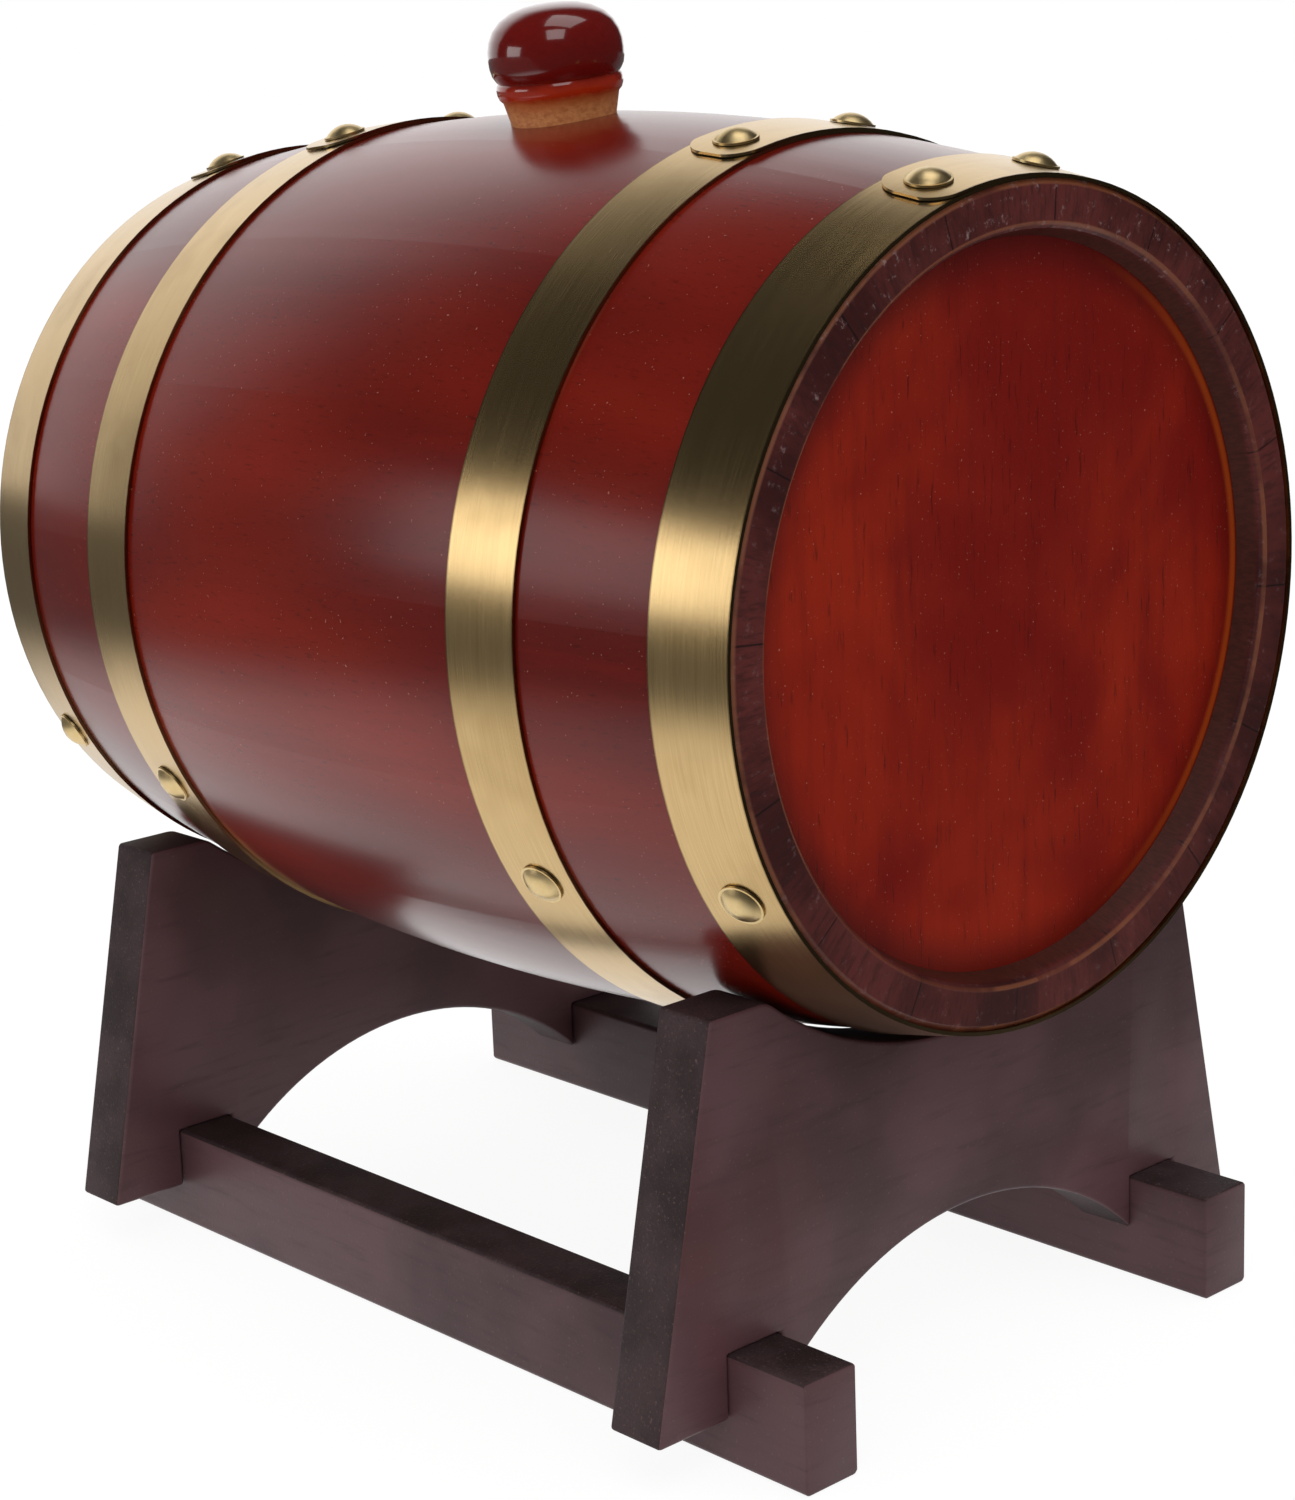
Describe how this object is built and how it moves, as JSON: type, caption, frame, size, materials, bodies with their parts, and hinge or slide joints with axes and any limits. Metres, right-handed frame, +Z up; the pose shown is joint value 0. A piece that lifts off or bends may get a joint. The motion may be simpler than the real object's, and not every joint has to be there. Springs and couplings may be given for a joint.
{
  "type": "cask drink dispenser on a stand",
  "caption": "Small coopered cask lying in a slotted wooden stand, with a turned bung on top and a turned wooden tap low in the front head.",
  "frame": {"origin": "middle of the bounding box's base: on the table, under the middle of the length from the tap's nose to the rear chime", "axes": "+Z up, the cask's axis along Y, the tap and its head towards -Y, the plain head towards +Y, +X to the right seen from the tap"},
  "size_m": [0.1988, 0.308, 0.2923],
  "materials": {
    "stave_wood": "semi-gloss red-brown lacquer",
    "head_wood": "semi-gloss red-brown lacquer",
    "hoop_brass": "brushed, antiqued",
    "rivet_brass": "polished",
    "bung_wood": "gloss cherry lacquer, bare below the collar",
    "tap_wood": "gloss lacquer",
    "stand_wood": "satin espresso lacquer"
  },
  "bodies": {
    "stand": {"front_board": "stand_wood", "rear_board": "stand_wood", "left_rail": "stand_wood", "right_rail": "stand_wood"},
    "cask": {"stave_01": "stave_wood", "stave_02": "stave_wood", "stave_03": "stave_wood", "stave_04": "stave_wood", "stave_05": "stave_wood", "stave_06": "stave_wood", "stave_07": "stave_wood", "stave_08": "stave_wood", "stave_09": "stave_wood", "stave_10": "stave_wood", "stave_11": "stave_wood", "stave_12": "stave_wood", "stave_13": "stave_wood", "stave_14": "stave_wood", "stave_15": "stave_wood", "stave_16": "stave_wood", "front_head": "head_wood", "rear_head": "head_wood", "front_end_hoop": "hoop_brass", "front_belly_hoop": "hoop_brass", "rear_belly_hoop": "hoop_brass", "rear_end_hoop": "hoop_brass", "front_end_rivets": "rivet_brass", "front_belly_rivets": "rivet_brass", "rear_belly_rivets": "rivet_brass", "rear_end_rivets": "rivet_brass", "tap_body": "tap_wood", "tap_spout": "tap_wood"},
    "bung": {"bung": "bung_wood"},
    "tap_key": {"tap_key": "tap_wood"}
  },
  "joints": [
    {"name": "cask_lift", "type": "slide", "parent": "stand", "child": "cask", "axis": [0, 0, 1], "range_m": [0, 0.12]},
    {"name": "bung_pull", "type": "slide", "parent": "cask", "child": "bung", "axis": [0.1097, 0, 0.994], "range_m": [0, 0.04]},
    {"name": "key_turn", "type": "hinge", "parent": "cask", "child": "tap_key", "pos_m": [-0.00549, -0.122, 0.1189], "axis": [0.1097, 0, 0.994], "range_deg": [0, 90]}
  ]
}
